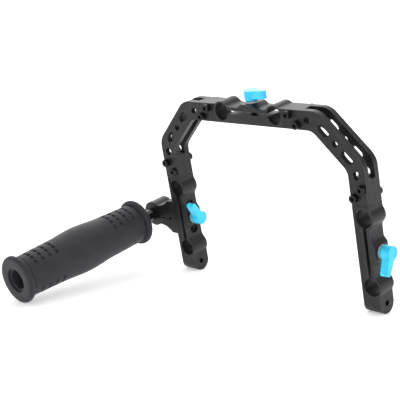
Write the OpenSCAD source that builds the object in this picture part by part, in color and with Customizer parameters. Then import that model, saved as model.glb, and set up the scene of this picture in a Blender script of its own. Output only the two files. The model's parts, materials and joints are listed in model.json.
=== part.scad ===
// Camera cage for 15 mm rods: three split clamp blocks joined by corner plates into a C,
// with a rubber side handle. It is drawn upright, then leaned onto its two feet and its grip.
// In the upright frame X runs along the top bar, Y runs back along the rods from the
// clamps' front faces, and Z is zero on the bore line of the top clamp.

/* [Rods and clamps] */
// Diameter of the rods that the clamps hold
rod_d = 15; // [12:0.5:16]
// Distance between the two rods of one clamp
rod_spacing = 60; // [58:1:80]
// Clearance between a rod and its bore, on the radius
rod_gap = 0.05; // [0.02:0.01:0.15]
// Depth of the clamp blocks, along the rods
clamp_depth = 18; // [16:0.5:24]
// Thinnest wall between a bore and the flat face
flat_wall = 2.2; // [1:0.05:3]
// Wall of the round shoulders over the bores
bulge_wall = 1.6; // [1.4:0.05:3]
// Height of the tongue's face above the bore line
tongue_rise = 6.8; // [5:0.1:8]
// Height of the foot's face above the bore line
foot_rise = 7; // [6:0.1:8]
// Width of the clamping slit
slit_w = 3; // [1:0.1:3.4]
// Thickness of the clamp's thin jaw
jaw_t = 3.1; // [2.6:0.1:4.5]
// Height of the lever's boss above the thin jaw
boss_h = 3.1; // [2.5:0.1:5]
// Length of the lever's boss along its top
boss_len = 12; // [11:0.5:16]
// Run of the slopes beside the lever's boss
boss_run = 4.5; // [3:0.1:5]
// Radius of the hollows beside the round shoulders
hollow_r = 6; // [3:0.5:7]
// Distance from a bore to the shoulder where the plates begin
shoulder = 11; // [10.5:0.5:14]
// Length of the top clamp's tongues between the plates
top_tongue = 19; // [16:0.5:22]
// Length of the legs' tongues between the plates
leg_tongue = 21; // [20:0.5:24]
// Distance from a leg's lower bore to the hole in its foot
foot_drop = 16; // [14:0.5:20]
// Drill of the threaded hole in each foot
foot_hole_d = 5.1; // [4:0.1:6]
// Chamfer at the mouths of the rod bores
bore_chamfer = 0.4; // [0.2:0.1:0.8]

/* [Corner plates] */
// Outside width of the cage over its legs
cage_w = 232; // [210:1:300]
// Height from the legs' upper bores to the top bore line
leg_drop = 80; // [76:1:140]
// Reach of the slanted corner, along each of its two sides
corner_cut = 31; // [28:0.5:36]
// How much wider the plates are on the slant than at their ends
slant_extra = 0.9; // [0:0.1:2]
// Gap between a plate's end and the clamp's shoulder
end_gap = 0.3; // [0.1:0.1:0.8]
// Thickness of a corner plate
plate_t = 5; // [3:0.1:5.4]
// Radius of the plates' rounded inner corners
plate_r = 12; // [4:0.5:14]
// Radius of the plates' rounded outer corners
plate_outer_r = 17; // [4:0.5:18]
// Diameter of the plain hole over the top clamp's end
hole_end_d = 6.3; // [5:0.1:8]
// Distance of that hole from the corner of the plate's centre line
hole_end_in = 8.2; // [0:0.1:8.4]
// Diameter of the plain hole on the slant
hole_mid_d = 5.8; // [4:0.1:7]
// Diameter of the plain hole over the leg
hole_leg_d = 7.6; // [5:0.1:9]
// Distance of that hole from the corner of the plate's centre line
hole_leg_in = 7.2; // [0:0.1:8]
// Width of the slots
slot_w = 7.8; // [6:0.1:8.4]
// Length of the slots
slot_len = 12.4; // [11:0.1:16]
// Distance of each slot's centre from the middle of the slant
slot_shift = 14.5; // [12.5:0.5:15]

/* [Plate screws] */
// Thread diameter of the plate screws
plate_screw_d = 4; // [3:0.5:4]
// Diameter of their round heads
plate_head_d = 7; // [5.5:0.1:7.2]
// Height of their heads
plate_head_h = 4; // [3:0.1:4.5]
// Width across the flats of their sockets
plate_socket = 3; // [2:0.5:3.5]
// Distance between the two screws of a joint, along and across the plate
screw_pitch = 8; // [7.4:0.1:8.4]
// First screw's distance from the plate's end at the top clamp
top_screw_in = 5; // [3.6:0.1:6]
// First screw's distance from the plate's end at a leg
leg_screw_in = 6.6; // [4:0.1:9]
// Length of the plate screws in the tongue
plate_screw_bite = 6.5; // [4:0.1:7]

/* [Clamping levers] */
// Thread diameter of the clamp screws
clamp_screw_d = 5; // [4:0.5:5.5]
// Diameter of a lever's hub
hub_d = 12.4; // [12:0.1:14]
// Height of a lever's hub
hub_h = 9.1; // [8.6:0.1:12]
// Narrowing of the hub's foot, on the radius, and the height that it runs over
hub_foot = 1.2; // [0.4:0.1:1.6]
// Thickness of the hub's closed end over the screw's head
hub_cap_t = 1.8; // [1:0.1:2]
// Length of a lever from its axis to its tip
lever_len = 19.5; // [16:0.5:24]
// Thickness of a lever's arm
lever_arm_t = 6.8; // [5:0.1:8]
// Width of a lever's arm beside its hub
lever_root_w = 8.2; // [5.4:0.1:9]
// Width of a lever's arm at its tip
lever_tip_w = 5.3; // [5:0.1:8]
// Rise of a lever's arm towards its tip
lever_rise = 1.2; // [0:0.1:4]
// Width across the flats of a clamp screw's head
bolt_head_af = 8; // [7:0.1:8.5]
// Height of a clamp screw's head
bolt_head_h = 3.5; // [2.5:0.1:4.5]
// Thickness of the washer under a lever
washer_t = 1.4; // [1:0.1:3]
// Diameter of the washer under a lever
washer_d = 12; // [10:0.1:12.5]
// Turn of the top lever from the bar towards the back
top_lever_turn = -10; // [-180:1:180]
// Turn of the left lever from straight down
left_lever_turn = -150; // [-180:1:180]
// Turn of the right lever from straight down
right_lever_turn = -33; // [-180:1:180]

/* [Handle bracket] */
// Distance of the bracket below the middle of the left clamp
bracket_drop = 0.6; // [0:0.1:1]
// Distance of the handle's axis from the left leg
handle_out = 30; // [28:0.5:40]
// Diameter of the handle's rod
handle_rod_d = 12; // [10:0.5:14]
// Clearance between the handle's rod and its bracket, on the radius
handle_rod_gap = 0.05; // [0.02:0.01:0.09]
// Wall of the bracket around the rod
ring_wall = 5.9; // [4:0.1:7]
// Thickness of the bracket's foot
bracket_foot_t = 7; // [6.8:0.1:9]
// Height of the bracket's foot along the leg
bracket_foot_h = 32.5; // [32:0.5:38]
// Height of the bracket's neck
bracket_neck_h = 19.2; // [18:0.1:21]
// Radius of the hollows where the neck widens into the foot
bracket_fillet = 20; // [8:0.5:22]
// Width of the bracket's slit
bracket_slit = 0.6; // [0.4:0.1:2.2]
// Distance of the slit below the rod's axis
slit_drop = 2; // [0:0.1:2.2]
// Distance between the two screws that hold the bracket
bracket_screw_gap = 24.6; // [24.4:0.1:25]
// Thread diameter of the bracket's three screws
bracket_screw_d = 5; // [4:0.1:5]
// Head diameter of the bracket's three screws
bracket_head_d = 8.5; // [7.5:0.1:8.8]
// Head height of the bracket's three screws
bracket_head_h = 5; // [4:0.1:5]
// Distance of the bracket's clamp screw from the leg
pinch_out = 14.5; // [13.5:0.1:17]

/* [Handle] */
// Distance from the clamps' front to the grip
grip_gap = 20.8; // [12:0.1:30]
// Length of the rubber grip
grip_len = 145.7; // [120:0.1:170]
// Diameter of the grip's two end collars
collar_d = 43.7; // [41:0.1:48]
// Thickness of the end collars
collar_t = 6; // [5.8:0.1:12]
// Rounding of the end collars
collar_r = 2.8; // [2:0.1:2.8]
// Diameter of the groove behind each collar
groove_d = 34.6; // [30:0.1:36]
// Width of that groove
groove_w = 2.6; // [1:0.1:4]
// Diameter of the grip beside its grooves
grip_waist_d = 37.2; // [36.2:0.1:38]
// Diameter that the grip arches up to under its belly
grip_arch_d = 39.8; // [38:0.1:41]
// Diameter of the grip over its belly
grip_belly_d = 42.9; // [41:0.1:44]
// Length of the belly in the middle of the grip
belly_len = 62; // [40:1:80]
// Outside diameter of the tube in the grip
tube_d = 22; // [21:0.1:25]
// Wall of the tube
tube_wall = 2; // [1.5:0.1:2.5]
// Depth of the tube's end inside the grip's mouth
tube_recess = 2.5; // [2:0.5:10]
// Length of the rod behind the clamps
rod_tail = 3; // [1:0.5:20]
// Length of the plug in the tube
plug_len = 18; // [12:0.5:30]
// Diameter of the rod's nose in the plug
rod_nose_d = 8; // [7:0.1:9]
// Thread diameter of the bolt in the tube
tube_bolt_d = 5; // [4:0.1:5.5]
// Length of that bolt in the rod's nose
tube_bolt_bite = 10; // [8:0.5:12]

/* [Hidden] */
$fn = 64;

anodised = [0.13, 0.13, 0.14];
rubber = [0.22, 0.22, 0.24];
sky_blue = [0.2, 0.72, 0.96];
steel = [0.55, 0.56, 0.58];
black_steel = [0.1, 0.1, 0.11];

fit_gap = 0.05;      // screws and shafts in the holes that guide them
bolt_gap = 0.25;     // screws in the plain holes that they pass
lift_gap = 0.2;      // under a part that turns on a face
cut_over = 1;        // how far a cut runs past the face that it opens
overlap = 0.3;       // how far pieces of one solid run into each other
bite = 0.02;         // how far a hollow cuts into the faces that it runs out on

bore_r = rod_d / 2 + rod_gap;
flat_side = bore_r + flat_wall;
bulge_r = bore_r + bulge_wall;
bar_w = flat_side + tongue_rise;
bar_mid = (tongue_rise - flat_side) / 2;
jaw_top = slit_w / 2 + jaw_t;
boss_top = jaw_top + boss_h;
half_span = rod_spacing / 2;
seam = half_span + shoulder;
tongue_t = clamp_depth - 2 * plate_t;
screw_bite = min(plate_screw_bite, tongue_t - 0.5);
mid_y = clamp_depth / 2;
foot_end = half_span + foot_drop;

left_x = -cage_w / 2 + flat_side;
right_x = cage_w / 2 - tongue_rise;
leg_mid_z = -leg_drop - half_span;

// The plates' outline: inner corners are a bar's width in from the outer ones
corner_skew = bar_w * tan(22.5);
inner_x = cage_w / 2 - bar_w;
inner_top_x = inner_x - corner_cut;
inner_leg_z = -flat_side - corner_cut;
slant_shift = slant_extra * sqrt(2);
outer_top_x = inner_top_x + corner_skew + slant_shift;
outer_leg_z = inner_leg_z + corner_skew + slant_shift;
leg_seam_z = -leg_drop + shoulder;
turn_top = [(inner_top_x + outer_top_x) / 2, bar_mid];
turn_leg = [cage_w / 2 - bar_w / 2, (inner_leg_z + outer_leg_z) / 2];
slant_mid = (turn_top + turn_leg) / 2;

lever_floor = boss_top + washer_t + lift_gap;
screw_seat = lever_floor + hub_h - hub_cap_t - bolt_head_h;
arm_base = 2.2;
tip_r = 2.4;
arm_lean = asin(lever_rise / lever_len);
arm_top = arm_base + lever_rise + lever_arm_t * cos(arm_lean);
screw_end = flat_side - 0.5;

head_sink = slit_w / 2 + bracket_head_h + 0.2;
bracket_thread = 6;
bracket_tap = bracket_thread + 0.2;
neck_half = bracket_neck_h / 2;
pinch_seat = neck_half - bracket_head_h - 0.3;
pinch_thread = neck_half - 2.5;
pinch_len = pinch_seat + pinch_thread - 0.5;
relief_r = 1.5;

ring_r = handle_rod_d / 2 + ring_wall;
rod_hole_r = handle_rod_d / 2 + handle_rod_gap;
handle_x = -cage_w / 2 - handle_out;
handle_z = leg_mid_z - bracket_drop;
grip_end = grip_gap + grip_len;
tube_start = grip_gap + 2;
nose_end = tube_start + plug_len;
tube_r = tube_d / 2;
tube_bore = tube_r - tube_wall;
tube_washer_t = 1.2;

// How the cage stands: leaned until the round feet and the grip's near collar touch one floor
foot_c = [mid_y, leg_mid_z - foot_end];
foot_r = clamp_depth / 2;
rim_c = [-grip_end + collar_r, handle_z - collar_d / 2 + collar_r];
lean_run = foot_c - rim_c;
lean = atan(-lean_run[1] / lean_run[0]) + asin((foot_r - collar_r) / norm(lean_run));
stand_lift = foot_r - foot_c[0] * sin(lean) - foot_c[1] * cos(lean);
rim_top_z = rim_c[1] + collar_d - 2 * collar_r;
front_y = rim_c[0] * cos(lean) - rim_top_z * sin(lean) - collar_r;
back_y = foot_c[0] * cos(lean) - foot_c[1] * sin(lean) + foot_r;
far_left_x = handle_x - collar_d / 2;
far_right_x = right_x + lever_floor + max(hub_h, arm_top);
centre_x = (far_left_x + far_right_x) / 2;
centre_y = (front_y + back_y) / 2;

module stand() {
    translate([-centre_x, -centre_y, stand_lift])
        rotate([lean, 0, 0])
            children();
}

// Places a lever's parts: the top clamp's axis is Z, and a leg's axis is X
module on_top() {
    translate([0, mid_y, 0])
        children();
}

module on_leg(x) {
    translate([x, mid_y, leg_mid_z])
        rotate([0, 90, 0])
            children();
}

// Places the handle's parts: their own Z runs from the clamps' front towards the grip's mouth
module on_handle() {
    translate([handle_x, 0, handle_z])
        rotate([90, 0, 0])
            children();
}

// An arc that rounds a corner at p, where e1 and e2 point along the corner's two edges
function arc_reach(e1, e2, r) = r / tan(acos(e1 * e2) / 2);
function arc_centre(p, e1, e2, r) = p + (e1 + e2) / norm(e1 + e2) * r / sin(acos(e1 * e2) / 2);

// What such an arc takes off an outer corner
module corner_sliver(p, e1, e2, r) {
    reach = arc_reach(e1, e2, r);
    centre = arc_centre(p, e1, e2, r);
    difference() {
        polygon([p - (e1 + e2) * overlap, p + e1 * reach, centre, p + e2 * reach]);
        translate(centre)
            circle(r);
    }
}

// Where the hollow beside a round shoulder has its centre, over a face at that level
function hollow_centre(level, side) =
    [side * sqrt(pow(bulge_r + hollow_r, 2) - pow(level + hollow_r, 2)), level + hollow_r];

// The hollows of one clamp: each has its bore's side, its own side of that bore and its face's level
function hollows(low_level) = [
    [-1, -1, low_level], [-1, 1, jaw_top], [1, -1, jaw_top], [1, 1, tongue_rise]
];

// A clamp's outline with the bores on the X axis and the jaw upwards
module clamp_outline(low_end, low_level) {
    difference() {
        union() {
            translate([-half_span - low_end, -flat_side])
                square([2 * half_span + low_end + shoulder, flat_side + slit_w / 2]);
            translate([-half_span, 0])
                square([2 * half_span, jaw_top]);
            translate([half_span, 0])
                square([shoulder, tongue_rise]);
            translate([-half_span - low_end, 0])
                square([low_end, low_level]);
            for (side = [-1, 1])
                translate([side * half_span, 0])
                    intersection() {
                        circle(bulge_r);
                        translate([-bulge_r - cut_over, -slit_w / 2])
                            square(2 * (bulge_r + cut_over));
                    }
            for (h = hollows(low_level)) {
                centre = hollow_centre(h[2], h[1]);
                translate([h[0] * half_span, 0])
                    polygon([[0, 0], centre, [centre[0], 0]]);
            }
            polygon([
                [-boss_len / 2 - boss_run, jaw_top], [-boss_len / 2, boss_top],
                [boss_len / 2, boss_top], [boss_len / 2 + boss_run, jaw_top],
                [boss_len / 2 + boss_run, 0], [-boss_len / 2 - boss_run, 0]
            ]);
        }
        for (h = hollows(low_level))
            translate([h[0] * half_span, 0])
                translate(hollow_centre(h[2], h[1]))
                    circle(hollow_r + bite);
    }
}

// Bores, slit and the clamp screw's hole, for a clamp along X with its jaw towards Z
module clamp_cuts() {
    for (side = [-1, 1])
        translate([side * half_span, clamp_depth, 0])
            rotate([90, 0, 0]) {
                translate([0, 0, -cut_over])
                    cylinder(h = clamp_depth + 2 * cut_over, r = bore_r);
                translate([0, 0, clamp_depth - bore_chamfer])
                    cylinder(h = 2 * bore_chamfer, r1 = bore_r, r2 = bore_r + 2 * bore_chamfer);
                translate([0, 0, -bore_chamfer])
                    cylinder(h = 2 * bore_chamfer, r1 = bore_r + 2 * bore_chamfer, r2 = bore_r);
            }
    translate([-half_span, -cut_over, -slit_w / 2])
        cube([rod_spacing, clamp_depth + 2 * cut_over, slit_w]);
    translate([0, mid_y, 0]) {
        cylinder(h = boss_top + cut_over, r = clamp_screw_d / 2 + bolt_gap);
        translate([0, 0, -flat_side - cut_over])
            cylinder(h = flat_side + 2 * cut_over, r = clamp_screw_d / 2 + fit_gap);
    }
}

// A tongue that starts at a shoulder and runs along X, with the plates' four screw holes
module tongue(length, first_screw) {
    difference() {
        translate([-overlap, plate_t, -flat_side])
            cube([length + overlap, tongue_t, bar_w]);
        for (along = [0, 1], across = [-1, 1])
            translate([first_screw + along * screw_pitch, clamp_depth, bar_mid + across * screw_pitch / 2])
                rotate([90, 0, 0])
                    cylinder(h = clamp_depth, r = plate_screw_d / 2 + fit_gap);
    }
}

module top_rod_clamp() {
    color(anodised) {
        difference() {
            translate([0, clamp_depth, 0])
                rotate([90, 0, 0])
                    linear_extrude(clamp_depth)
                        clamp_outline(shoulder, tongue_rise);
            clamp_cuts();
        }
        for (turn = [0, 1])
            mirror([turn, 0, 0])
                translate([seam, 0, 0])
                    tongue(top_tongue, top_screw_in);
    }
}

// What the foot's round end leaves of a square end
module foot_rounding() {
    difference() {
        translate([-foot_end - foot_r - cut_over, -cut_over])
            square([foot_r + cut_over, clamp_depth + 2 * cut_over]);
        translate([-foot_end, mid_y])
            circle(foot_r);
    }
}

// A leg's clamp, along X with its foot at the low end, before it is stood up
module leg_clamp_lying() {
    difference() {
        translate([0, clamp_depth, 0])
            rotate([90, 0, 0])
                linear_extrude(clamp_depth)
                    clamp_outline(foot_drop + foot_r, foot_rise);
        clamp_cuts();
        translate([0, 0, -flat_side - cut_over])
            linear_extrude(flat_side + foot_rise + 2 * cut_over)
                foot_rounding();
        translate([-foot_end, mid_y, -flat_side - cut_over])
            cylinder(h = flat_side + foot_rise + 2 * cut_over, r = foot_hole_d / 2);
    }
    translate([seam, 0, 0])
        tongue(leg_tongue, leg_screw_in);
}

module stand_leg(x) {
    translate([x, 0, leg_mid_z])
        rotate([0, -90, 0])
            mirror([0, 0, 1])
                children();
}

module right_rod_clamp() {
    color(anodised)
        stand_leg(right_x)
            leg_clamp_lying();
}

// The left leg also has the holes for the screws that hold the handle's bracket
module left_rod_clamp() {
    color(anodised)
        stand_leg(left_x)
            difference() {
                leg_clamp_lying();
                for (side = [-1, 1])
                    translate([side * bracket_screw_gap / 2 - bracket_drop, mid_y, 0]) {
                        translate([0, 0, -head_sink])
                            cylinder(h = head_sink + boss_top, r = bracket_head_d / 2 + bolt_gap);
                        translate([0, 0, -flat_side - cut_over])
                            cylinder(h = flat_side, r = bracket_screw_d / 2 + bolt_gap);
                    }
            }
}

// The right front plate in the XZ plane
module plate_outline() {
    up = [0, 1];
    down = [0, -1];
    left = [-1, 0];
    slant_down = [1, -1] / sqrt(2);
    slant_up = -slant_down;
    outer_top = [outer_top_x, tongue_rise];
    outer_leg = [cage_w / 2, outer_leg_z];
    inner_top = [inner_top_x, -flat_side];
    inner_leg = [inner_x, inner_leg_z];
    plate_start = seam + end_gap;
    plate_foot = leg_seam_z + end_gap;
    reach = arc_reach(left, slant_down, plate_r);
    top_centre = arc_centre(inner_top, left, slant_down, plate_r);
    leg_centre = arc_centre(inner_leg, slant_up, down, plate_r);
    difference() {
        polygon([
            [plate_start, tongue_rise], outer_top, outer_leg,
            [cage_w / 2, plate_foot], [inner_x, plate_foot],
            inner_leg + down * reach, leg_centre, inner_leg + slant_up * reach,
            inner_top + slant_down * reach, top_centre, inner_top + left * reach, [plate_start, -flat_side]
        ]);
        translate(top_centre)
            circle(plate_r);
        translate(leg_centre)
            circle(plate_r);
        corner_sliver(outer_top, left, slant_down, plate_outer_r);
        corner_sliver(outer_leg, slant_up, down, plate_outer_r);
    }
}

// Places the screws of the right-hand joints in the XZ plane; the back's are on the other diagonals
module screw_spots(flip) {
    for (i = [0, 1]) {
        across = (1 - 2 * i) * flip * screw_pitch / 2;
        translate([seam + top_screw_in + i * screw_pitch, bar_mid + across])
            children();
        translate([turn_leg[0] - across, leg_seam_z + leg_screw_in + i * screw_pitch])
            children();
    }
}

module slot() {
    square([slot_len - slot_w, slot_w], center = true);
    for (side = [-1, 1])
        translate([side * (slot_len - slot_w) / 2, 0])
            circle(slot_w / 2);
}

// A corner plate in the XZ plane with all its holes
module plate_face(flip) {
    difference() {
        plate_outline();
        screw_spots(flip)
            circle(plate_screw_d / 2 + bolt_gap);
        translate([turn_top[0] - hole_end_in, turn_top[1]])
            circle(hole_end_d / 2);
        translate([turn_leg[0], turn_leg[1] - hole_leg_in])
            circle(hole_leg_d / 2);
        translate(slant_mid)
            rotate(-45) {
                circle(hole_mid_d / 2);
                for (side = [-1, 1])
                    translate([side * slot_shift, 0])
                        slot();
            }
    }
}

module corner_plate(back_y_face, flip) {
    color(anodised)
        translate([0, back_y_face, 0])
            rotate([90, 0, 0])
                linear_extrude(plate_t)
                    plate_face(flip);
}

module right_front_plate() {
    corner_plate(plate_t, 1);
}

module right_rear_plate() {
    corner_plate(clamp_depth, -1);
}

module left_front_plate() {
    mirror([1, 0, 0])
        corner_plate(plate_t, 1);
}

module left_rear_plate() {
    mirror([1, 0, 0])
        corner_plate(clamp_depth, -1);
}

// A socket screw along Z with the underside of its head at zero
module cap_screw(d, length, head_d, head_h, socket) {
    translate([0, 0, -length])
        cylinder(h = length + head_h / 2, r = d / 2);
    difference() {
        cylinder(h = head_h, r = head_d / 2);
        translate([0, 0, head_h * 0.45])
            cylinder(h = head_h, r = socket / sqrt(3), $fn = 6);
    }
}

module plate_screw() {
    cap_screw(plate_screw_d, plate_t + screw_bite, plate_head_d, plate_head_h, plate_socket);
}

module front_screws() {
    color(black_steel)
        rotate([90, 0, 0])
            screw_spots(1)
                plate_screw();
}

module rear_screws() {
    color(black_steel)
        translate([0, clamp_depth, 0])
            rotate([90, 0, 0])
                screw_spots(-1)
                    mirror([0, 0, 1])
                        plate_screw();
}

module right_front_screws() {
    front_screws();
}

module right_rear_screws() {
    rear_screws();
}

module left_front_screws() {
    mirror([1, 0, 0])
        front_screws();
}

module left_rear_screws() {
    mirror([1, 0, 0])
        rear_screws();
}

// A lever along X whose axis is Z
module lever_handle(turn) {
    tip_half = lever_tip_w / 2;
    root_half = lever_root_w / 2;
    color(sky_blue)
        rotate(turn)
            difference() {
                union() {
                    translate([0, 0, lever_floor])
                        cylinder(h = hub_foot, r1 = hub_d / 2 - hub_foot, r2 = hub_d / 2);
                    translate([0, 0, lever_floor + hub_foot])
                        cylinder(h = hub_h - hub_foot, r = hub_d / 2);
                    translate([0, 0, lever_floor + arm_base])
                        rotate([0, -arm_lean, 0])
                            linear_extrude(lever_arm_t) {
                                polygon([
                                    [0, root_half], [lever_len - tip_r, tip_half],
                                    [lever_len - tip_r, -tip_half], [0, -root_half]
                                ]);
                                translate([lever_len - 2 * tip_r, tip_r - tip_half])
                                    square([2 * tip_r, lever_tip_w - 2 * tip_r]);
                                for (side = [-1, 1])
                                    translate([lever_len - tip_r, side * (tip_half - tip_r)])
                                        circle(tip_r);
                            }
                }
                translate([0, 0, lever_floor - cut_over])
                    cylinder(h = screw_seat - lever_floor + 2 * cut_over, r = clamp_screw_d / 2 + fit_gap);
                translate([0, 0, screw_seat])
                    cylinder(h = bolt_head_h + fit_gap, r = bolt_head_af / sqrt(3) + fit_gap, $fn = 6);
            }
}

module clamp_screw(turn) {
    color(black_steel)
        rotate(turn) {
            translate([0, 0, -screw_end])
                cylinder(h = screw_seat + screw_end + 1, r = clamp_screw_d / 2);
            translate([0, 0, screw_seat])
                cylinder(h = bolt_head_h, r = bolt_head_af / sqrt(3), $fn = 6);
        }
}

module lever_washer() {
    color(steel)
        translate([0, 0, boss_top])
            difference() {
                cylinder(h = washer_t, r = washer_d / 2);
                translate([0, 0, -cut_over])
                    cylinder(h = washer_t + 2 * cut_over, r = clamp_screw_d / 2 + bolt_gap);
            }
}

module top_lever_handle() {
    on_top()
        lever_handle(top_lever_turn);
}

module left_lever_handle() {
    on_leg(left_x)
        lever_handle(left_lever_turn);
}

module right_lever_handle() {
    on_leg(right_x)
        lever_handle(right_lever_turn);
}

module top_clamp_screw() {
    on_top()
        clamp_screw(top_lever_turn);
}

module left_clamp_screw() {
    on_leg(left_x)
        clamp_screw(left_lever_turn);
}

module right_clamp_screw() {
    on_leg(right_x)
        clamp_screw(right_lever_turn);
}

module top_lever_washer() {
    on_top()
        lever_washer();
}

module left_lever_washer() {
    on_leg(left_x)
        lever_washer();
}

module right_lever_washer() {
    on_leg(right_x)
        lever_washer();
}

// The bracket in the XZ plane: X runs out from the leg's outer face
module bracket_outline() {
    foot_half = bracket_foot_h / 2;
    fillet_drop = bracket_fillet + neck_half - foot_half;
    fillet_run = sqrt(pow(bracket_fillet, 2) - pow(fillet_drop, 2));
    difference() {
        union() {
            translate([0, -foot_half])
                square([bracket_foot_t, bracket_foot_h]);
            translate([0, -neck_half])
                square([handle_out, bracket_neck_h]);
            translate([handle_out, 0])
                circle(ring_r);
            for (flip = [0, 1])
                mirror([0, flip])
                    difference() {
                        translate([bracket_foot_t - overlap, neck_half - overlap])
                            square([fillet_run + overlap, foot_half - neck_half + overlap]);
                        translate([bracket_foot_t + fillet_run, neck_half + bracket_fillet])
                            circle(bracket_fillet);
                    }
        }
        translate([handle_out, 0])
            circle(rod_hole_r);
        translate([bracket_foot_t, -slit_drop]) {
            translate([0, -bracket_slit / 2])
                square([handle_out - bracket_foot_t, bracket_slit]);
            circle(relief_r);
        }
    }
}

module handle_bracket() {
    color(anodised)
        translate([-cage_w / 2, 0, handle_z])
            mirror([1, 0, 0])
                difference() {
                    translate([0, clamp_depth, 0])
                        rotate([90, 0, 0])
                            linear_extrude(clamp_depth)
                                bracket_outline();
                    for (side = [-1, 1])
                        translate([-cut_over, mid_y, side * bracket_screw_gap / 2])
                            rotate([0, 90, 0])
                                cylinder(h = bracket_tap + cut_over, r = bracket_screw_d / 2 + fit_gap);
                    translate([pinch_out, mid_y, 0])
                        mirror([0, 0, 1]) {
                            translate([0, 0, -pinch_thread])
                                cylinder(h = pinch_thread + cut_over, r = bracket_screw_d / 2 + fit_gap);
                            cylinder(h = neck_half + cut_over, r = bracket_screw_d / 2 + bolt_gap);
                            translate([0, 0, pinch_seat])
                                cylinder(h = bracket_foot_h / 2, r = bracket_head_d / 2 + bolt_gap);
                        }
                }
}

module bracket_screws() {
    color(black_steel)
        stand_leg(left_x)
            for (side = [-1, 1])
                translate([side * bracket_screw_gap / 2 - bracket_drop, mid_y, -head_sink])
                    cap_screw(bracket_screw_d, flat_side - head_sink + bracket_thread,
                        bracket_head_d, bracket_head_h, 4);
}

module bracket_clamp_screw() {
    color(black_steel)
        translate([-cage_w / 2 - pinch_out, mid_y, handle_z - pinch_seat])
            mirror([0, 0, 1])
                cap_screw(bracket_screw_d, pinch_len, bracket_head_d, bracket_head_h, 4);
}

module handle_rod() {
    color(anodised)
        on_handle()
            difference() {
                union() {
                    translate([0, 0, -clamp_depth - rod_tail])
                        cylinder(h = clamp_depth + rod_tail + tube_start, r = handle_rod_d / 2);
                    translate([0, 0, tube_start - cut_over])
                        cylinder(h = plug_len + cut_over, r = rod_nose_d / 2);
                    translate([0, 0, -clamp_depth - rod_tail - 2])
                        cylinder(h = 2 + cut_over, r = rod_nose_d / 2);
                }
                translate([0, 0, nose_end - tube_bolt_bite - 1])
                    cylinder(h = tube_bolt_bite + 2, r = tube_bolt_d / 2 + fit_gap);
            }
}

module tube_plug() {
    color(anodised)
        on_handle()
            difference() {
                translate([0, 0, tube_start])
                    cylinder(h = plug_len, r = tube_bore);
                translate([0, 0, tube_start - cut_over])
                    cylinder(h = plug_len + 2 * cut_over, r = rod_nose_d / 2 + fit_gap);
            }
}

module handle_tube() {
    color(anodised)
        on_handle()
            difference() {
                translate([0, 0, tube_start])
                    cylinder(h = grip_end - tube_recess - tube_start, r = tube_r);
                translate([0, 0, tube_start - cut_over])
                    cylinder(h = grip_len, r = tube_bore + fit_gap);
            }
}

module tube_bolt_washer() {
    color(steel)
        on_handle()
            translate([0, 0, nose_end])
                difference() {
                    cylinder(h = tube_washer_t, r = tube_bore - 2);
                    translate([0, 0, -cut_over])
                        cylinder(h = tube_washer_t + 2 * cut_over, r = tube_bolt_d / 2 + bolt_gap);
                }
}

module tube_bolt() {
    color(black_steel)
        on_handle()
            translate([0, 0, nose_end + tube_washer_t])
                cap_screw(tube_bolt_d, tube_bolt_bite + tube_washer_t, 8.5, 5, 4);
}

// The grip's section beside its axis: radius along X, length along Y
module collar_section(start) {
    translate([tube_r, start + collar_r])
        square([collar_d / 2 - tube_r, collar_t - 2 * collar_r]);
    translate([tube_r, start])
        square([collar_d / 2 - collar_r - tube_r, collar_t]);
    for (end = [collar_r, collar_t - collar_r])
        translate([collar_d / 2 - collar_r, start + end])
            circle(collar_r);
}

// The grip's radius at s along its body: an arch from end to end, with a belly on its middle
function belly(from_mid) = abs(from_mid) < belly_len / 2
    ? (grip_belly_d - grip_arch_d) / 2 * pow(cos(180 * from_mid / belly_len), 2)
    : 0;
function body_r(s, length) =
    grip_waist_d / 2 + (grip_arch_d - grip_waist_d) / 2 * sin(180 * s / length) + belly(s - length / 2);

module grip_section() {
    body_start = collar_t + groove_w;
    body_len = grip_len - 2 * body_start;
    steps = 24;
    collar_section(0);
    collar_section(grip_len - collar_t);
    translate([tube_r, collar_t - overlap])
        square([groove_d / 2 - tube_r, grip_len - 2 * collar_t + 2 * overlap]);
    translate([0, body_start])
        polygon(concat(
            [[tube_r, 0]],
            [for (i = [0:steps]) [body_r(body_len * i / steps, body_len), body_len * i / steps]],
            [[tube_r, body_len]]
        ));
}

module rubber_grip() {
    color(rubber)
        on_handle()
            translate([0, 0, grip_gap])
                difference() {
                    rotate_extrude()
                        grip_section();
                    translate([0, 0, -cut_over])
                        cylinder(h = grip_len + 2 * cut_over, r = tube_r + fit_gap);
                }
}

stand() top_rod_clamp();
stand() left_rod_clamp();
stand() right_rod_clamp();
stand() left_front_plate();
stand() left_rear_plate();
stand() right_front_plate();
stand() right_rear_plate();
stand() left_front_screws();
stand() left_rear_screws();
stand() right_front_screws();
stand() right_rear_screws();
stand() top_lever_handle();
stand() left_lever_handle();
stand() right_lever_handle();
stand() top_clamp_screw();
stand() left_clamp_screw();
stand() right_clamp_screw();
stand() top_lever_washer();
stand() left_lever_washer();
stand() right_lever_washer();
stand() handle_bracket();
stand() bracket_screws();
stand() bracket_clamp_screw();
stand() handle_rod();
stand() handle_tube();
stand() tube_plug();
stand() tube_bolt();
stand() tube_bolt_washer();
stand() rubber_grip();
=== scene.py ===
import bpy
import bmesh
import json
import math
from mathutils import Matrix, Vector


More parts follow.
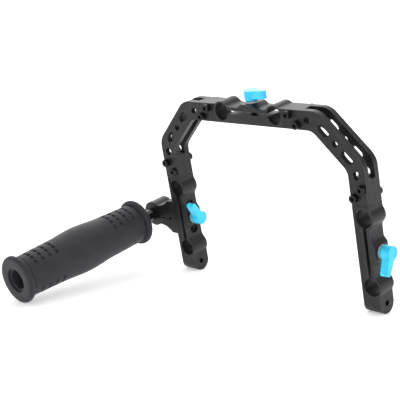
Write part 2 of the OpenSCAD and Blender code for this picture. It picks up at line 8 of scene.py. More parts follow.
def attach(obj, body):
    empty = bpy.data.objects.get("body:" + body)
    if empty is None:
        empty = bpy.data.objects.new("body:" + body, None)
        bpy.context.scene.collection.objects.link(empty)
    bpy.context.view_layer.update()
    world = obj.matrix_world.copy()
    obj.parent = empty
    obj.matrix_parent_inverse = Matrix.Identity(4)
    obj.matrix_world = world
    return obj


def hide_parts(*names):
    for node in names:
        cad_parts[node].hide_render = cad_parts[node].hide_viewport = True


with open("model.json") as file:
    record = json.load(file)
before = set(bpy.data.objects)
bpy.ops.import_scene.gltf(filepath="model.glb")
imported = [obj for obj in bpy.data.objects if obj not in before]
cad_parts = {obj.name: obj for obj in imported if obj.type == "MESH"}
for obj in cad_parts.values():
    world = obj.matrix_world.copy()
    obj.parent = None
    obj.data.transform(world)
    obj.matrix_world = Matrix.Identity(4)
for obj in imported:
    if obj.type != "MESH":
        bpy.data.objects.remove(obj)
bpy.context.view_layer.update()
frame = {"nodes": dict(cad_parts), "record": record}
nodes = frame["nodes"]
record = frame["record"]
mounts = {m["name"]: m for m in record["mounts"]}
slotOf = {s["node"]: s["material_slot"] for s in record["subparts"]}
bodyOf = {n: body for body, members in record["behaviour"]["bodies"].items() for n in members}
scene = bpy.context.scene
scene.view_settings.view_transform = "Standard"  # a white floor stays white
mm = 0.001
print("frame loaded:", len(nodes), "nodes")

# The cage was drawn upright and leans on its feet. Its own axes come back from the top clamp's bores.
boreA = Vector(mounts["top_rod_a"]["pos_m"])
boreB = Vector(mounts["top_rod_b"]["pos_m"])
forward = Vector(mounts["top_rod_a"]["axis"])
clampDepth = mounts["top_rod_a"]["dims"]["length_mm"] * mm
lean = math.atan2(-forward.z, -forward.y)
cage = Matrix.Translation((boreA + boreB) / 2 + forward * clampDepth / 2) @ Matrix.Rotation(lean, 4, "X")


# Camera
cameraSet = {
    "turn": 47.99,      # degrees round the upright cage, from its front
    "rise": 18.92,      # degrees above the rods
    "roll": -10.03,     # degrees
    "distance": 959.2,  # mm from the point it looks at
    "lookAt": (-76.47, 0.0, -87.48),  # mm from the top clamp's middle
    "lens": 94.11, "sensor": 36,      # mm
    "clip": (0.01, 20),               # metres
}


def makeCamera(s):
    turn, rise, roll = (math.radians(s[k]) for k in ("turn", "rise", "roll"))
    look = Vector((-math.sin(turn) * math.cos(rise), math.cos(turn) * math.cos(rise), -math.sin(rise)))
    right = Vector((math.cos(turn), math.sin(turn), 0))
    up = right.cross(look)
    right, up = (math.cos(roll) * right + math.sin(roll) * up, math.cos(roll) * up - math.sin(roll) * right)
    pose = Matrix((right, up, -look)).transposed().to_4x4()
    pose.translation = (Vector(s["lookAt"]) - look * s["distance"]) * mm
    data = bpy.data.cameras.new("camera")
    data.lens = s["lens"]
    data.sensor_width = s["sensor"]
    data.clip_start, data.clip_end = s["clip"]
    camera = bpy.data.objects.new("camera", data)
    scene.collection.objects.link(camera)
    camera.matrix_world = cage @ pose
    scene.camera = camera


makeCamera(cameraSet)
print("camera placed")


# Materials
def linear(hexColour):
    parts = [int(hexColour[i:i + 2], 16) / 255 for i in (1, 3, 5)]
    return tuple(c / 12.92 if c <= 0.04045 else ((c + 0.055) / 1.055) ** 2.4 for c in parts) + (1.0,)


def addNode(tree, kind, settings=None, inputs=None):
    # An input takes a plain value, another node's socket, or a list of sockets
    node = tree.nodes.new(kind)
    for key, value in (settings or {}).items():
        setattr(node, key, value)
    for key, value in (inputs or {}).items():
        for item in value if isinstance(value, list) else [value]:
            if isinstance(item, bpy.types.NodeSocket):
                tree.links.new(item, node.inputs[key])
            else:
                node.inputs[key].default_value = item
    return node


def startMaterial(name, inputs):
    material = bpy.data.materials.new(name)
    material.use_nodes = True
    tree = material.node_tree
    tree.nodes.clear()
    shader = addNode(tree, "ShaderNodeBsdfPrincipled", inputs=inputs)
    addNode(tree, "ShaderNodeOutputMaterial", inputs={"Surface": shader.outputs[0]})
    place = addNode(tree, "ShaderNodeTexCoord").outputs["Object"]
    return material, tree, shader, place


cloudEnds = (0.3, 0.7)  # the pattern's values at which each of its two colours is full


def mottle(tree, shader, place, look):
    # A cloudy pattern, with blotches of the look's size in mm, runs between its two colours and, in step with
    # them, between its two roughnesses
    cloud = addNode(tree, "ShaderNodeTexNoise", inputs={
        "Vector": place, "Scale": 1 / (look["size"] * mm), "Detail": look["detail"]}).outputs[0]
    colour = addNode(tree, "ShaderNodeValToRGB", inputs={"Fac": cloud})
    for stop, position, shade in zip(colour.color_ramp.elements, cloudEnds, look["colours"]):
        stop.position = position
        stop.color = linear(shade)
    first, second = look["rough"]
    rough = addNode(tree, "ShaderNodeMapRange", inputs={"Value": cloud, "To Min": first, "To Max": second})
    tree.links.new(colour.outputs[0], shader.inputs["Base Color"])
    tree.links.new(rough.outputs[0], shader.inputs["Roughness"])
    return cloud


# Black anodised aluminium
anodisedSet = {
    "face": {"size": 9.0, "detail": 3.0, "colours": ("#171718", "#201f22"), "rough": (0.38, 0.46)},
    "shine": 0.32,
    "grain": 0.22,  # mm, coarser than the beads' real marks, which would not show
    "grainDeep": 0.05, "grainStrength": 0.12,
    # the edges' paler colours are a painted highlight along the rounded edges
    "edge": {"size": 9.0, "detail": 4.0, "colours": ("#2c2c2e", "#77787b"), "rough": (0.36, 0.24)},
    "edgeMetal": 0.6,
    # the bores' darker colours are painted shade inside the bores
    "bore": {"size": 0.22, "detail": 3.0, "colours": ("#0e0e0f", "#171718"), "rough": (0.42, 0.52)},
    "boreShine": 0.24,
}


def makeAnodised(s):
    # Bead-blasted aluminium, dyed black: a satin surface with a fine even grain
    material, tree, shader, place = startMaterial("blackAnodised", {
        "IOR": 1.5, "Specular IOR Level": s["shine"]})
    mottle(tree, shader, place, s["face"])
    grain = addNode(tree, "ShaderNodeTexNoise", inputs={
        "Vector": place, "Scale": 1 / (s["grain"] * mm), "Detail": 2.0}).outputs[0]
    bump = addNode(tree, "ShaderNodeBump", inputs={
        "Height": grain, "Strength": s["grainStrength"], "Distance": s["grainDeep"] * mm}).outputs[0]
    tree.links.new(bump, shader.inputs["Normal"])
    return material


def makeAnodisedEdgeHighlight(s):
    # Black anodised aluminium where a cutter broke the edges: smoother than the blasted faces, and paler,
    # which is a painted highlight along each edge
    material, tree, shader, place = startMaterial("anodisedEdgePaintedHighlight", {"IOR": 1.5, "Metallic": s["edgeMetal"]})
    mottle(tree, shader, place, s["edge"])
    return material


def makeShadedBore(s):
    # Reamed bores under the same black dye: fine tool marks on the wall, and darker than the blasted faces,
    # which is painted shade inside the bores
    material, tree, shader, place = startMaterial("boreWithPaintedShade", {
        "IOR": 1.5, "Specular IOR Level": s["boreShine"]})
    mottle(tree, shader, place, s["bore"])
    return material


# The handle's rod
polishedSet = {"size": 9.0, "detail": 4.0, "colours": ("#101012", "#18181b"), "rough": (0.16, 0.26)}


def makePolished(s):
    # Bright-dipped aluminium rod, dyed black: nearly a mirror, with faint clouds from polishing
    material, tree, shader, place = startMaterial("polishedRod", {"IOR": 1.5})
    mottle(tree, shader, place, s)
    return material


# The tube in the grip
tubeSet = {
    "look": {"size": 6.0, "detail": 3.0, "colours": ("#35343b", "#403e47"), "rough": (0.45, 0.55)},
    "shine": 0.3,
}


def makeTubeFinish(s):
    # Drawn aluminium tube, dyed over its mill finish: greyer than the blasted pieces and duller than the rod
    material, tree, shader, place = startMaterial("drawnTube", {
        "IOR": 1.5, "Specular IOR Level": s["shine"]})
    mottle(tree, shader, place, s["look"])
    return material


# Rubber
rubberSet = {
    "look": {"size": 14.0, "detail": 4.0, "colours": ("#29282c", "#333137"), "rough": (0.52, 0.62)},
    "shine": 0.22, "chalk": 0.08, "chalkRough": 0.5,
    "grain": 0.35,  # mm, coarser than the mould's real skin, which would not show
    "grainDeep": 0.08, "grainStrength": 0.25,
}


def makeRubber(s):
    # Moulded rubber with a spark-eroded skin: matte, faintly violet, a little chalky where it is handled
    material, tree, shader, place = startMaterial("mouldedRubber", {
        "IOR": 1.5, "Specular IOR Level": s["shine"], "Sheen Weight": s["chalk"],
        "Sheen Roughness": s["chalkRough"]})
    mottle(tree, shader, place, s["look"])
    grain = addNode(tree, "ShaderNodeTexVoronoi", inputs={
        "Vector": place, "Scale": 1 / (s["grain"] * mm)}).outputs["Distance"]
    bump = addNode(tree, "ShaderNodeBump", inputs={
        "Height": grain, "Strength": s["grainStrength"], "Distance": s["grainDeep"] * mm}).outputs[0]
    tree.links.new(bump, shader.inputs["Normal"])
    return material


# Lever plastic
leverSet = {
    "look": {"size": 6.0, "detail": 2.0, "colours": ("#34c6f0", "#40d8fc"), "rough": (0.26, 0.34)},
    "shine": 0.4, "coat": 0.05, "coatRough": 0.15,
    "glow": 0.15, "glowDeep": 1.5,  # mm that light gets inside the plastic
    "glowReach": (0.2, 0.7, 1.0),   # red's, green's and blue's share of that
    "peel": 1.1, "peelDeep": 0.1, "peelStrength": 0.1,
}


def makeLeverPlastic(s):
    # Glossy moulded nylon in sky blue, with a slight orange peel and paler flow marks
    material, tree, shader, place = startMaterial("skyBlueNylon", {
        "IOR": 1.45, "Specular IOR Level": s["shine"], "Coat Weight": s["coat"],
        "Coat Roughness": s["coatRough"], "Subsurface Weight": s["glow"],
        "Subsurface Radius": s["glowReach"], "Subsurface Scale": s["glowDeep"] * mm})
    mottle(tree, shader, place, s["look"])
    peel = addNode(tree, "ShaderNodeTexNoise", inputs={
        "Vector": place, "Scale": 1 / (s["peel"] * mm), "Detail": 1.0}).outputs[0]
    bump = addNode(tree, "ShaderNodeBump", inputs={
        "Height": peel, "Strength": s["peelStrength"], "Distance": s["peelDeep"] * mm}).outputs[0]
    tree.links.new(bump, shader.inputs["Normal"])
    return material


# Screw steel
oxideSet = {
    "head": {"size": 2.5, "detail": 4.0, "colours": ("#111112", "#1e1d1d"), "rough": (0.32, 0.46)},
    "headMetal": 0.5, "stainDeep": 0.05, "stainStrength": 0.1,
    # the rims' pale colours are a painted highlight
    "rim": {"size": 2.5, "detail": 4.0, "colours": ("#6c6c6e", "#b9b9bb"), "rough": (0.4, 0.28)},
    "rimMetal": 0.9,
}


def makeBlackOxide(s):
    # Hardened steel with an oiled black oxide: nearly black, with a soft shine
    material, tree, shader, place = startMaterial("blackOxide", {"Metallic": s["headMetal"], "IOR": 1.5})
    stain = mottle(tree, shader, place, s["head"])
    bump = addNode(tree, "ShaderNodeBump", inputs={
        "Height": stain, "Strength": s["stainStrength"], "Distance": s["stainDeep"] * mm}).outputs[0]
    tree.links.new(bump, shader.inputs["Normal"])
    return material


def makeOxideRimHighlight(s):
    # The same black oxide with a pale colour on the heads' rims: a painted highlight along each rim
    material, tree, shader, place = startMaterial("oxideRimPaintedHighlight", {"Metallic": s["rimMetal"], "IOR": 1.5})
    mottle(tree, shader, place, s["rim"])
    return material


# Washer steel
washerSet = {
    # The pattern's size is coarser than real turning marks, which would not show
    "look": {"size": 0.4, "detail": 3.0, "colours": ("#b6b8bb", "#d2d4d6"), "rough": (0.3, 0.42)},
    "metal": 0.5, "brushed": 0.3,
}


def makeSteel(s):
    # Zinc-plated steel: pale grey and satin, with fine turning marks
    material, tree, shader, place = startMaterial("zincPlate", {
        "Metallic": s["metal"], "Anisotropic": s["brushed"]})
    mottle(tree, shader, place, s["look"])
    return material


finishes = {
    "black_anodised": makeAnodised(anodisedSet),
    "black_rubber": makeRubber(rubberSet),
    "blue_lever": makeLeverPlastic(leverSet),
    "black_screw": makeBlackOxide(oxideSet),
    "steel_washer": makeSteel(washerSet),
}
# Edge materials: their paler colours are a painted highlight along the rounded edges
paintedEdgeHighlights = {"black_anodised": makeAnodisedEdgeHighlight(anodisedSet), "black_screw": makeOxideRimHighlight(oxideSet)}
ownFinishes = {  # the finishes of a piece's faces and edges, where they aren't its slot's
    # the rod's edges take the anodised edges' painted highlight
    "handle_rod": (makePolished(polishedSet), paintedEdgeHighlights["black_anodised"]),
    "handle_tube": (makeTubeFinish(tubeSet), None),
}
# The bores' darker material is painted shade
boreShade = makeShadedBore(anodisedSet)
print("materials made:", len(finishes))


# Making pieces
meshSet = {
    "weld": 0.001,  # mm within which loose corners are joined
    "flat": 0.4,    # degrees within which triangles are one flat face
    "sharp": 30,    # degrees from which an edge counts as sharp, and is rounded
}


def weldedShape(name):
    # A node's own mesh, with its loose triangles joined
    shape = bmesh.new()
    shape.from_mesh(nodes[name].data)
    bmesh.ops.remove_doubles(shape, verts=shape.verts, dist=meshSet["weld"] * mm)
    return shape


def cleanCopy(name):
    # The same mesh with its flat faces made whole again
    shape = weldedShape(name)
    bmesh.ops.dissolve_limit(shape, angle_limit=math.radians(meshSet["flat"]), verts=shape.verts,
                             edges=shape.edges)
    mesh = bpy.data.meshes.new(name)
    shape.to_mesh(mesh)
    shape.free()
    return mesh


def solidBoxes(name):
    # The low and high corners of each separate solid of a node, in the upright cage's axes. They come in the
    # mesh's order, so that what is drawn by chance for each is the same on every run.
    shape = weldedShape(name)
    upright = cage.inverted()
    seen = set()
    boxes = []
    for start in shape.verts:
        if start in seen:
            continue
        seen.add(start)
        reach = [start]
        corners = []
        while reach:
            corner = reach.pop()
            corners.append(upright @ corner.co)
            for edge in corner.link_edges:
                other = edge.other_vert(corner)
                if other not in seen:
                    seen.add(other)
                    reach.append(other)
        low = Vector([min(c[i] for c in corners) for i in range(3)])
        high = Vector([max(c[i] for c in corners) for i in range(3)])
        boxes.append((low, high))
    shape.free()
    return boxes


def addPiece(name, mesh, *materials):
    for material in materials:
        mesh.materials.append(material)
    piece = bpy.data.objects.new(name, mesh)
    scene.collection.objects.link(piece)
    return piece


def bakeModifiers(piece):
    graph = bpy.context.evaluated_depsgraph_get()
    mesh = bpy.data.meshes.new_from_object(piece.evaluated_get(graph))
    piece.modifiers.clear()
    piece.data = mesh


def roundEdges(piece, width, steps, edgeSlot):
    # Gives every sharp edge a small rounding in the edge's own material, whose paler colour is a painted
    # highlight, or the faces' where its slot is -1
    piece.data.shade_smooth()
    piece.data.set_sharp_from_angle(angle=math.radians(meshSet["sharp"]))
    bevel = piece.modifiers.new("edges", "BEVEL")
    bevel.width = width * mm
    bevel.segments = steps
    bevel.limit_method = "ANGLE"
    bevel.angle_limit = math.radians(meshSet["sharp"])
    bevel.use_clamp_overlap = True
    bevel.harden_normals = True
    bevel.material = edgeSlot
    bakeModifiers(piece)


def finishPiece(piece, *replaced):
    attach(piece, bodyOf[replaced[0]])
    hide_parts(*replaced)


# Machined and moulded pieces
edgeSet = {  # the width in mm of each kind of piece's edges, and the steps that round them
    "rod_clamp": (0.45, 2), "plate": (0.35, 2), "handle_bracket": (0.5, 2), "washer": (0.3, 2),
    "handle_rod": (0.4, 2), "handle_tube": (0.3, 2), "lever_handle": (1.5, 4),
}
# Which faces inside the bores take the painted shade
boreShadeMask = {
    "slack": 0.1,  # mm past a bore's radius
    "slant": 0.1,  # how far a wall's normal may point along the bore, from 0 to 1
}


def paintBoreShade(mesh, s):
    # Gives the faces inside the clamps' bores their own darker material: painted shade inside the bores
    mesh.materials.append(boreShade)
    for bore in [m for m in mounts.values() if m["kind"] == "clamp"]:
        axis = Vector(bore["axis"])
        radius = bore["dims"]["r_mm"] + s["slack"]
        for face in mesh.polygons:
            away = face.center - Vector(bore["pos_m"])
            aside = (away - away.dot(axis) * axis).length
            if aside < radius * mm and abs(face.normal.dot(axis)) < s["slant"]:
                face.material_index = len(mesh.materials) - 1


def softenPiece(name, width, steps):
    slot = slotOf[name]
    # The edges' material carries a painted highlight
    faces, edges = ownFinishes.get(name, (finishes[slot], paintedEdgeHighlights.get(slot)))
    mesh = cleanCopy(name)
    piece = addPiece(name + "_finished", mesh, *[m for m in (faces, edges) if m])
    # The clamps' bores get painted shade
    if name.endswith("rod_clamp"):
        paintBoreShade(mesh, boreShadeMask)
    roundEdges(piece, width, steps, 1 if edges else -1)
    finishPiece(piece, name)


for name in sorted(nodes):
    for ending, (width, steps) in edgeSet.items():
        if name.endswith(ending):
            softenPiece(name, width, steps)
for name, node in nodes.items():
    node.data.materials.clear()
    node.data.materials.append(finishes[slotOf[name]])
print("edges softened")


# Geometry nodes
def startGeometry(name, inputs):
    tree = bpy.data.node_groups.new(name, "GeometryNodeTree")
    tree.interface.new_socket("Geometry", in_out="INPUT", socket_type="NodeSocketGeometry")
    for label, kind in inputs.items():
        tree.interface.new_socket(label, in_out="INPUT", socket_type="NodeSocket" + kind)
    tree.interface.new_socket("Geometry", in_out="OUTPUT", socket_type="NodeSocketGeometry")
    return tree, addNode(tree, "NodeGroupInput").outputs


def endGeometry(tree, geometry, material):
    whole = addNode(tree, "GeometryNodeRealizeInstances", inputs={"Geometry": geometry}).outputs[0]
    dressed = addNode(tree, "GeometryNodeSetMaterial", inputs={"Geometry": whole, "Material": material})
    addNode(tree, "NodeGroupOutput", inputs={"Geometry": dressed.outputs[0]})


def addGeometry(piece, tree, values):
    modifier = piece.modifiers.new(tree.name, "NODES")
    modifier.node_group = tree
    for item in tree.interface.items_tree:
        if item.in_out == "INPUT" and item.name in values:
            modifier[item.identifier] = values[item.name]


# Plate screws
screwSet = {
    "head": 7.0, "height": 4.0, "headSides": 48,
    "socket": 3.0, "socketDeep": 2.3,  # mm across the hexagon's flats, and its depth
    "shank": 4.0, "shankSides": 24,
    "rim": (0.35, 2),                  # mm of the head's rounded edge, and its steps
    "turn": 40.0, "seed": 0,           # degrees by which the sockets may stand apart
}


def placedBar(tree, sides, radius, length, middle):
    # A bar along Z. Its length and the height of its middle are each a size and a factor.
    length, middle = (addNode(tree, "ShaderNodeMath", {"operation": "MULTIPLY"}, {
        0: size, 1: factor}).outputs[0] for size, factor in (length, middle))
    bar = addNode(tree, "GeometryNodeMeshCylinder", inputs={
        "Vertices": sides, "Radius": radius, "Depth": length}).outputs["Mesh"]
    place = addNode(tree, "ShaderNodeCombineXYZ", inputs={"Z": middle}).outputs[0]
    return addNode(tree, "GeometryNodeTransform", inputs={"Geometry": bar, "Translation": place}).outputs[0]


def makeScrewTree(s):
    # A screw stands on each point, with its head above the point and its shank below
    tree, given = startGeometry("socketScrews", {
        "Material": "Material", "Head Radius": "Float", "Head Height": "Float", "Socket Radius": "Float",
        "Socket Depth": "Float", "Shank Radius": "Float", "Shank Length": "Float", "Turn": "Float",
        "Seed": "Int"})
    height, length = given["Head Height"], given["Shank Length"]
    head = placedBar(tree, s["headSides"], given["Head Radius"], (height, 1.0), (height, 0.5))
    socket = placedBar(tree, 6, given["Socket Radius"], (given["Socket Depth"], 2.0), (height, 1.0))
    shank = placedBar(tree, s["shankSides"], given["Shank Radius"], (length, 1.0), (length, -0.5))
    head = addNode(tree, "GeometryNodeMeshBoolean", {"operation": "DIFFERENCE"}, {
        "Mesh 1": head, "Mesh 2": socket}).outputs["Mesh"]
    screw = addNode(tree, "GeometryNodeJoinGeometry", inputs={0: [head, shank]}).outputs[0]
    chance = addNode(tree, "FunctionNodeRandomValue", {"data_type": "FLOAT"}, {
        "Seed": given["Seed"]}).outputs[1]
    angle = addNode(tree, "ShaderNodeMath", {"operation": "MULTIPLY"}, {
        0: chance, 1: given["Turn"]}).outputs[0]
    turn = addNode(tree, "ShaderNodeCombineXYZ", inputs={"Z": angle}).outputs[0]
    placed = addNode(tree, "GeometryNodeInstanceOnPoints", inputs={
        "Points": given["Geometry"], "Instance": screw, "Rotation": turn}).outputs[0]
    endGeometry(tree, placed, given["Material"])
    return tree


screwTree = makeScrewTree(screwSet)


def makeScrews(name, s):
    # Points under the heads, in axes whose Z runs out of the plate
    out = -1 if "front" in name else 1
    boxes = solidBoxes(name)
    rise = Matrix.Rotation(math.radians(-90 * out), 4, "X")
    seats = []
    for low, high in boxes:
        top = low.y if out < 0 else high.y
        seats.append(Vector(((low.x + high.x) / 2, top - out * s["height"] * mm, (low.z + high.z) / 2)))
    low, high = boxes[0]  # all screws of a plate are alike
    mesh = bpy.data.meshes.new(name)
    mesh.from_pydata([rise.inverted() @ seat for seat in seats], [], [])
    piece = addPiece(name + "_finished", mesh)
    addGeometry(piece, screwTree, {
        "Material": finishes["black_screw"], "Head Radius": s["head"] / 2 * mm,
        "Head Height": s["height"] * mm, "Socket Radius": s["socket"] / math.sqrt(3) * mm,
        "Socket Depth": s["socketDeep"] * mm, "Shank Radius": s["shank"] / 2 * mm,
        "Shank Length": high.y - low.y - s["height"] * mm, "Turn": math.radians(s["turn"]),
        "Seed": s["seed"]})
    bakeModifiers(piece)
    # The rounded rims take the pale oxide, a painted highlight
    piece.data.materials.append(paintedEdgeHighlights["black_screw"])
    roundEdges(piece, *s["rim"], 1)
    piece.data.transform(cage @ rise)
    finishPiece(piece, name)


for name in sorted(nodes):
    if name.endswith(("front_screws", "rear_screws")):
        makeScrews(name, screwSet)
print("screws placed")


# Rubber grip
gripSet = {
    "inset": 0.02,       # how far the skin stays inside the solid
    "collar": 43.7, "collarThick": 6.0, "collarRound": 2.8,
    "groove": 34.6, "grooveWide": 2.6, "grooveRound": 1.0,
    "waist": 37.2, "arch": 39.8, "belly": 42.9, "bellyLong": 62.0,
    "lip": 0.8,          # rounding of the mouth's edge
    "roundSteps": 8, "smallSteps": 4,
    "around": 256, "along": 290,
}
pitSet = {
    "rings": 4, "ringPitch": 7.8,
    "rows": 7, "rowStep": 17.0,  # degrees, round the grip
    "patches": {                 # mm from the named end to the first ring, and the middle row's angle
        "cageTop": (16.0, 90.0), "cageBelow": (16.0, -103.0),
        "mouthTop": (16.2, 98.5), "mouthBelow": (16.2, -84.0),
    },
    "skinRadius": 19.0,          # the pits are laid out on a drum of this radius
    "long": 1.6, "deep": 1.8,
    "reach": 1.75, "floor": 0.3,  # mm from a pit's middle line to its rim, and the share of it that is flat
}


def arcPoints(centre, radius, start, end, steps):
    angles = [math.radians(start + (end - start) * i / steps) for i in range(steps + 1)]
    return [(centre[0] + radius * math.cos(a), centre[1] + radius * math.sin(a)) for a in angles]


def gripProfile(s, length, bore):
    # Pairs of length along the axis and radius, from the mouth's edge round the outside to the other edge
    bodyStart = s["collarThick"] + s["grooveWide"]
    bodyLong = length - 2 * bodyStart

    def bodyRadius(t):
        swell = (s["arch"] - s["waist"]) / 2 * math.sin(math.pi * t / bodyLong)
        off = abs(t - bodyLong / 2)
        if off < s["bellyLong"] / 2:
            swell += (s["belly"] - s["arch"]) / 2 * math.cos(math.pi * off / s["bellyLong"]) ** 2
        return s["waist"] / 2 - s["inset"] + swell

    r, rim = s["collarRound"], s["collar"] / 2 - s["inset"]
    small, floor = s["grooveRound"], s["groove"] / 2 - s["inset"]
    end = arcPoints((s["lip"], bore + s["lip"]), s["lip"], 270, 180, s["smallSteps"])
    end += arcPoints((r, rim - r), r, 180, 90, s["roundSteps"])
    end += arcPoints((s["collarThick"] - r, rim - r), r, 90, 0, s["roundSteps"])
    end += arcPoints((s["collarThick"] + small, floor + small), small, 180, 270, s["smallSteps"])
    body = [(bodyStart + bodyLong * i / s["along"], bodyRadius(bodyLong * i / s["along"]))
            for i in range(s["along"] + 1)]
    return end + body + [(length - t, q) for t, q in reversed(end)]


def makePitTree(s):
    # Short dashes lie on the skin as if it were unrolled flat, and the skin is pressed in along each dash
    tree, given = startGeometry("grippingPits", {
        "Material": "Material", "Skin Radius": "Float", "Rings": "Int", "Ring Span": "Float", "Rows": "Int",
        "Row Span": "Float", "Pit Length": "Float", "Pit Reach": "Float", "Floor Reach": "Float",
        "Floor Level": "Float", **{patch: "Vector" for patch in s["patches"]}})
    position = addNode(tree, "GeometryNodeInputPosition").outputs[0]
    place = addNode(tree, "ShaderNodeSeparateXYZ", inputs={"Vector": position}).outputs
    angle = addNode(tree, "ShaderNodeMath", {"operation": "ARCTAN2"}, {
        0: place["Y"], 1: place["X"]}).outputs[0]
    around = addNode(tree, "ShaderNodeMath", {"operation": "MULTIPLY"}, {
        0: angle, 1: given["Skin Radius"]}).outputs[0]
    unrolled = addNode(tree, "ShaderNodeCombineXYZ", inputs={"X": place["Z"], "Y": around}).outputs[0]
    ends = []
    for share in (-0.5, 0.5):
        half = addNode(tree, "ShaderNodeMath", {"operation": "MULTIPLY"}, {
            0: given["Pit Length"], 1: share}).outputs[0]
        ends.append(addNode(tree, "ShaderNodeCombineXYZ", inputs={"Y": half}).outputs[0])
    dash = addNode(tree, "GeometryNodeMeshLine", {"mode": "END_POINTS"}, {
        "Count": 2, "Start Location": ends[0], "Offset": ends[1]}).outputs[0]
    grid = addNode(tree, "GeometryNodeMeshGrid", inputs={
        "Size X": given["Ring Span"], "Size Y": given["Row Span"], "Vertices X": given["Rings"],
        "Vertices Y": given["Rows"]}).outputs["Mesh"]
    patches = [addNode(tree, "GeometryNodeTransform", inputs={
        "Geometry": grid, "Translation": given[patch]}).outputs[0] for patch in s["patches"]]
    points = addNode(tree, "GeometryNodeJoinGeometry", inputs={0: patches}).outputs[0]
    dashes = addNode(tree, "GeometryNodeInstanceOnPoints", inputs={
        "Points": points, "Instance": dash}).outputs[0]
    dashes = addNode(tree, "GeometryNodeRealizeInstances", inputs={"Geometry": dashes}).outputs[0]
    near = addNode(tree, "GeometryNodeProximity", {"target_element": "EDGES"}, {
        "Geometry": dashes, "Sample Position": unrolled}).outputs["Distance"]
    level = addNode(tree, "ShaderNodeMapRange", {"interpolation_type": "SMOOTHSTEP"}, {
        "Value": near, "From Min": given["Floor Reach"], "From Max": given["Pit Reach"],
        "To Min": given["Floor Level"], "To Max": 0.0}).outputs[0]
    across = addNode(tree, "ShaderNodeCombineXYZ", inputs={"X": place["X"], "Y": place["Y"]}).outputs[0]
    outward = addNode(tree, "ShaderNodeVectorMath", {"operation": "NORMALIZE"}, {0: across}).outputs[0]
    shift = addNode(tree, "ShaderNodeVectorMath", {"operation": "SCALE"}, {
        0: outward, "Scale": level}).outputs[0]
    pitted = addNode(tree, "GeometryNodeSetPosition", inputs={
        "Geometry": given["Geometry"], "Offset": shift}).outputs[0]
    endGeometry(tree, pitted, given["Material"])
    return tree


def pressPits(piece, s, length):
    ringSpan = (s["rings"] - 1) * s["ringPitch"]
    values = {
        "Material": finishes["black_rubber"], "Skin Radius": s["skinRadius"] * mm,
        "Rings": s["rings"], "Ring Span": ringSpan * mm, "Rows": s["rows"],
        "Row Span": math.radians((s["rows"] - 1) * s["rowStep"]) * s["skinRadius"] * mm,
        "Pit Length": s["long"] * mm, "Pit Reach": s["reach"] * mm,
        "Floor Reach": s["floor"] * s["reach"] * mm, "Floor Level": -s["deep"] * mm}
    for patch, (first, middle) in s["patches"].items():
        along = first + ringSpan / 2
        if patch.startswith("mouth"):
            along = length - along
        values[patch] = (along * mm, math.radians(middle) * s["skinRadius"] * mm, 0.0)
    addGeometry(piece, makePitTree(s), values)
    bakeModifiers(piece)


def makeGrip(s, pits):
    # The grip's own axes: Z runs from the cage's side to the mouth
    low, high = solidBoxes("rubber_grip")[0]
    middle = (low + high) / 2
    tubeLow, tubeHigh = solidBoxes("handle_tube")[0]
    bore = (tubeHigh.x - tubeLow.x) / 2 / mm + s["inset"]
    length = (high.y - low.y) / mm - 2 * s["inset"]
    turns = [2 * math.pi * i / s["around"] for i in range(s["around"])]
    mesh = bpy.data.meshes.new("grip")
    shape = bmesh.new()
    rings = [[shape.verts.new((r * mm * math.cos(a), r * mm * math.sin(a), t * mm)) for a in turns]
             for t, r in gripProfile(s, length, bore)]
    for first, second in zip(rings, rings[1:] + rings[:1]):
        for i in range(s["around"]):
            j = (i + 1) % s["around"]
            shape.faces.new((first[i], first[j], second[j], second[i]))
    bmesh.ops.recalc_face_normals(shape, faces=shape.faces)
    shape.to_mesh(mesh)
    shape.free()
    mesh.shade_smooth()
    piece = addPiece("rubber_grip_finished", mesh)
    pressPits(piece, pits, length)
    turn = Matrix.Rotation(math.radians(90), 4, "X")
    stand = Matrix.Translation((middle.x, high.y - s["inset"] * mm, middle.z)) @ turn
    piece.data.transform(cage @ stand)
    finishPiece(piece, "rubber_grip")


makeGrip(gripSet, pitSet)
print("grip moulded")


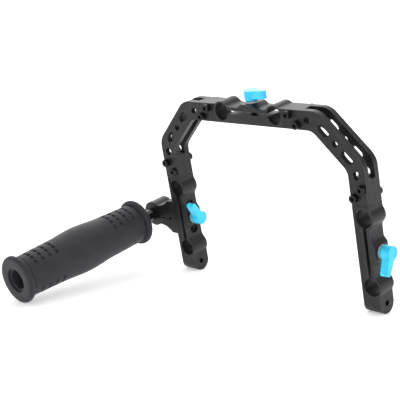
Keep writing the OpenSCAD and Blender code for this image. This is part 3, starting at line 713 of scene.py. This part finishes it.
# Floor and light
studioSet = {
    "paper": (6.0, 1.4),  # half its width and the height of its edges, in metres
    "paperColour": "#f4f4f4", "paperGlow": 0.4, "paperRough": 0.9, "paperShine": 0.1,
    "sky": 0.42,
    "boxes": (  # where each soft box is, the degrees from its middle where it ends and is full, its strength
        {"toward": (0.0, 0.1, 1.0), "wide": (55.0, 20.0), "strength": 1.1},      # overhead
        {"toward": (-0.70, 0.56, 0.50), "wide": (34.0, 12.0), "strength": 2.2},  # behind, for upward faces
        {"toward": (0.95, -0.1, 0.3), "wide": (50.0, 15.0), "strength": 0.4},    # for the legs' outer faces
    ),
}


def layPaper(s):
    # A sheet of white paper, turned up at its far edges so that no horizon shows
    size, rise = s["paper"]
    edge = [(-size, -size), (size, -size), (size, size), (-size, size)]
    mesh = bpy.data.meshes.new("floor")
    mesh.from_pydata([(x, y, z) for z in (0, rise) for x, y in edge], [],
                     [(0, 1, 2, 3)] + [(i, i + 4, (i + 1) % 4 + 4, (i + 1) % 4) for i in range(4)])
    material, *_ = startMaterial("paperFloor", {
        "Roughness": s["paperRough"], "Specular IOR Level": s["paperShine"],
        "Base Color": linear(s["paperColour"]), "Emission Color": linear("#ffffff"),
        "Emission Strength": s["paperGlow"]})
    addPiece("floor", mesh, material)


def lightStudio(s):
    # An even white sky with soft boxes in it
    world = bpy.data.worlds.new("studio")
    world.use_nodes = True
    tree = world.node_tree
    tree.nodes.clear()
    sky = addNode(tree, "ShaderNodeTexCoord").outputs["Generated"]
    level = s["sky"]
    for box in s["boxes"]:
        outer, inner = (math.cos(math.radians(angle)) for angle in box["wide"])
        facing = addNode(tree, "ShaderNodeVectorMath", {"operation": "DOT_PRODUCT"}, {
            0: sky, 1: Vector(box["toward"]).normalized()}).outputs["Value"]
        glow = addNode(tree, "ShaderNodeMapRange", {"interpolation_type": "SMOOTHSTEP"}, {
            "Value": facing, "From Min": outer, "From Max": inner, "To Max": box["strength"]}).outputs[0]
        level = addNode(tree, "ShaderNodeMath", {"operation": "ADD"}, {0: level, 1: glow}).outputs[0]
    light = addNode(tree, "ShaderNodeBackground", inputs={"Strength": level, "Color": linear("#ffffff")})
    addNode(tree, "ShaderNodeOutputWorld", inputs={"Surface": light.outputs[0]})
    scene.world = world


layPaper(studioSet)
lightStudio(studioSet)
print("studio lit")
